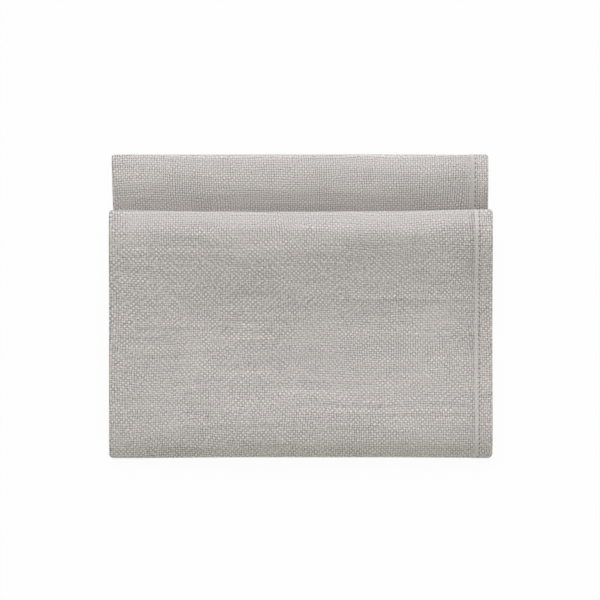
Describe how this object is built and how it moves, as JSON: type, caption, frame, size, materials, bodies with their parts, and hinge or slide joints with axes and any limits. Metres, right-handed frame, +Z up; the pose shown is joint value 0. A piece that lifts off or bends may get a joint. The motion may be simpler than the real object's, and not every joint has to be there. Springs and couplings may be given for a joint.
{
  "type": "folded cloth napkin",
  "caption": "Square table napkin of thick plain-woven cloth with stitched hems, folded in half, its ends turned in, then folded over so that the back stands out above the front.",
  "frame": {"origin": "middle of the underside, on the surface that the napkin lies on", "axes": "+X to the side where the hems lie together, +Y to the back fold, +Z up out of the pile"},
  "size_m": [0.225, 0.1788, 0.0153],
  "materials": {
    "cloth": "matte plain weave of uneven natural yarn"
  },
  "bodies": {
    "root": {"napkin_cloth": "cloth"}
  },
  "joints": []
}
